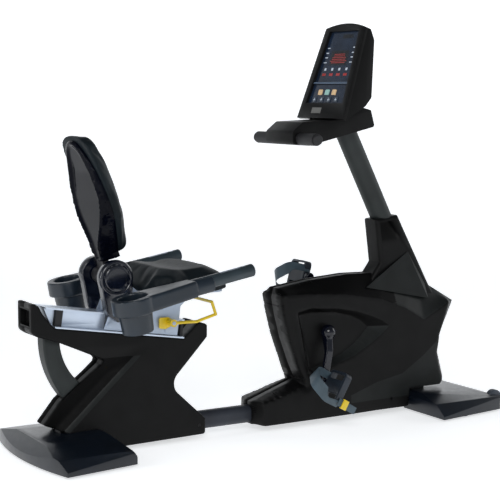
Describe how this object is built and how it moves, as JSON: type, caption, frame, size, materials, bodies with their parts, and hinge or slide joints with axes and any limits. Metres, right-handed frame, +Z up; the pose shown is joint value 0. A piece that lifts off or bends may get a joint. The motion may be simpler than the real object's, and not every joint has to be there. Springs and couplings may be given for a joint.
{
  "type": "recumbent exercise bike",
  "caption": "Recumbent exercise bike: low frame with a sliding, reclining seat with cup-holder armrests, pedal drive in a moulded housing, and a console on a leaning mast.",
  "frame": {"origin": "on the floor, in the middle of the outline seen from above", "axes": "+X towards the pedals and console (the rider's forward), +Y to the rider's left, +Z up"},
  "size_m": [1.791, 0.618, 1.3515],
  "materials": {
    "foot_plastic": "satin moulded plastic, blue-black",
    "housing_plastic": "matte moulded plastic, near black",
    "charcoal_paint": "satin charcoal powder coat",
    "frame_paint": "black powder coat",
    "tube_paint": "satin blue-grey powder coat",
    "rail_aluminium": "extruded and anodised",
    "rubber_black": "moulded rubber",
    "silver_paint": "silver powder coat",
    "bearing_steel": "ground steel",
    "screw_steel": "blackened steel",
    "nylon": "filled nylon",
    "cast_iron": "turned cast iron",
    "crank_gloss": "gloss black",
    "pedal_plastic": "moulded nylon, blue-grey",
    "strap_rubber": "moulded strap, slate grey",
    "arm_plastic": "satin moulded plastic, slate",
    "grip_plastic": "satin moulded plastic, grey",
    "sensor_steel": "satin stainless",
    "lever_yellow": "yellow powder coat",
    "shell_gloss": "polished black",
    "vinyl": "upholstery vinyl, slate black",
    "window_dark": "printed polycarbonate, dark blue",
    "board_green": "circuit board",
    "socket_plastic": "moulded socket",
    "key_amber": "printed key, amber",
    "key_teal": "printed key, teal",
    "key_white": "printed key, pale"
  },
  "bodies": {
    "frame": {"rear_foot_cover": "foot_plastic", "rear_frame": "frame_paint", "rear_housing_right": "housing_plastic", "rear_housing_left": "housing_plastic", "rear_end_cap": "housing_plastic", "rear_strut": "charcoal_paint", "seat_rail": "rail_aluminium", "rail_end_stops": "rubber_black", "main_tube": "tube_paint", "front_housing_right": "housing_plastic", "front_housing_left": "housing_plastic", "front_frame": "frame_paint", "crank_bearings": "bearing_steel", "front_foot_cover": "foot_plastic", "mast_tube": "charcoal_paint", "mast_boot": "housing_plastic", "handlebar_tray": "housing_plastic", "handlebar": "bearing_steel", "handlebar_grips": "rubber_black", "console_housing": "housing_plastic", "console_bezel": "housing_plastic", "console_windows": "window_dark", "console_board": "board_green", "drive_belt": "rubber_black", "brake_magnet": "frame_paint", "power_socket": "socket_plastic", "housing_screws": "screw_steel", "foot_pads": "rubber_black"},
    "crank": {"crank_axle": "bearing_steel", "drive_pulley": "nylon", "crank_arm_right": "crank_gloss", "crank_arm_left": "crank_gloss", "pedal_spindles": "bearing_steel"},
    "right_pedal": {"pedal_right": "pedal_plastic", "pedal_strap_right": "strap_rubber"},
    "left_pedal": {"pedal_left": "pedal_plastic", "pedal_strap_left": "strap_rubber"},
    "flywheel": {"flywheel": "cast_iron"},
    "right_wheel": {"transport_wheel_right": "rubber_black"},
    "left_wheel": {"transport_wheel_left": "rubber_black"},
    "carriage": {"carriage_frame": "silver_paint", "carriage_glides": "nylon", "seat_cushion": "vinyl", "armrest_right": "arm_plastic", "armrest_left": "arm_plastic", "armrest_grips": "grip_plastic", "pulse_sensors": "sensor_steel", "hub_brackets": "arm_plastic", "recline_axle": "bearing_steel"},
    "lever": {"seat_lever": "lever_yellow"},
    "backrest": {"backrest_post": "frame_paint", "backrest_shell": "shell_gloss", "backrest_cushion": "vinyl"},
    "key_program_1_body": {"key_program_1": "key_amber"},
    "key_program_2_body": {"key_program_2": "key_teal"},
    "key_program_3_body": {"key_program_3": "key_amber"},
    "key_function_1_body": {"key_function_1": "key_white"},
    "key_function_2_body": {"key_function_2": "key_white"},
    "key_function_3_body": {"key_function_3": "key_white"},
    "key_function_4_body": {"key_function_4": "key_white"}
  },
  "joints": [
    {"name": "crank_spin", "type": "hinge", "parent": "frame", "child": "crank", "pos_m": [0.197, 0, 0.316], "axis": [0, 1, 0], "continuous": true},
    {"name": "right_pedal_spin", "type": "hinge", "parent": "crank", "child": "right_pedal", "pos_m": [0.16165, -0.17, 0.14971], "axis": [0, 1, 0], "continuous": true},
    {"name": "left_pedal_spin", "type": "hinge", "parent": "crank", "child": "left_pedal", "pos_m": [0.23234, 0.17, 0.48229], "axis": [0, 1, 0], "continuous": true},
    {"name": "flywheel_spin", "type": "hinge", "parent": "frame", "child": "flywheel", "pos_m": [0.41, 0, 0.23], "axis": [0, 1, 0], "continuous": true},
    {"name": "right_wheel_spin", "type": "hinge", "parent": "frame", "child": "right_wheel", "pos_m": [0.832, -0.178, 0.044], "axis": [0, 1, 0], "continuous": true},
    {"name": "left_wheel_spin", "type": "hinge", "parent": "frame", "child": "left_wheel", "pos_m": [0.832, 0.178, 0.044], "axis": [0, 1, 0], "continuous": true},
    {"name": "seat_slide", "type": "slide", "parent": "frame", "child": "carriage", "axis": [0.9877, 0, -0.1564], "range_m": [-0.145, 0.02]},
    {"name": "lever_lift", "type": "hinge", "parent": "carriage", "child": "lever", "pos_m": [-0.4, -0.085, 0.398], "axis": [0, -1, 0], "range_deg": [0, 10], "stiffness_Nm_per_rad": 4, "springref_deg": -20.05},
    {"name": "backrest_recline", "type": "hinge", "parent": "carriage", "child": "backrest", "pos_m": [-0.592, 0, 0.552], "axis": [0, 1, 0], "range_deg": [-15, 4]},
    {"name": "key_program_1_press", "type": "slide", "parent": "frame", "child": "key_program_1_body", "axis": [0.9478, 0, -0.319], "range_m": [0, 0.0008], "stiffness_N_per_m": 400},
    {"name": "key_program_2_press", "type": "slide", "parent": "frame", "child": "key_program_2_body", "axis": [0.9478, 0, -0.319], "range_m": [0, 0.0008], "stiffness_N_per_m": 400},
    {"name": "key_program_3_press", "type": "slide", "parent": "frame", "child": "key_program_3_body", "axis": [0.9478, 0, -0.319], "range_m": [0, 0.0008], "stiffness_N_per_m": 400},
    {"name": "key_function_1_press", "type": "slide", "parent": "frame", "child": "key_function_1_body", "axis": [0.9478, 0, -0.319], "range_m": [0, 0.0008], "stiffness_N_per_m": 400},
    {"name": "key_function_2_press", "type": "slide", "parent": "frame", "child": "key_function_2_body", "axis": [0.9478, 0, -0.319], "range_m": [0, 0.0008], "stiffness_N_per_m": 400},
    {"name": "key_function_3_press", "type": "slide", "parent": "frame", "child": "key_function_3_body", "axis": [0.9478, 0, -0.319], "range_m": [0, 0.0008], "stiffness_N_per_m": 400},
    {"name": "key_function_4_press", "type": "slide", "parent": "frame", "child": "key_function_4_body", "axis": [0.9478, 0, -0.319], "range_m": [0, 0.0008], "stiffness_N_per_m": 400}
  ],
  "couplings": [
    {"joint": "flywheel_spin", "follows": "crank_spin", "ratio": 4.3182}
  ]
}
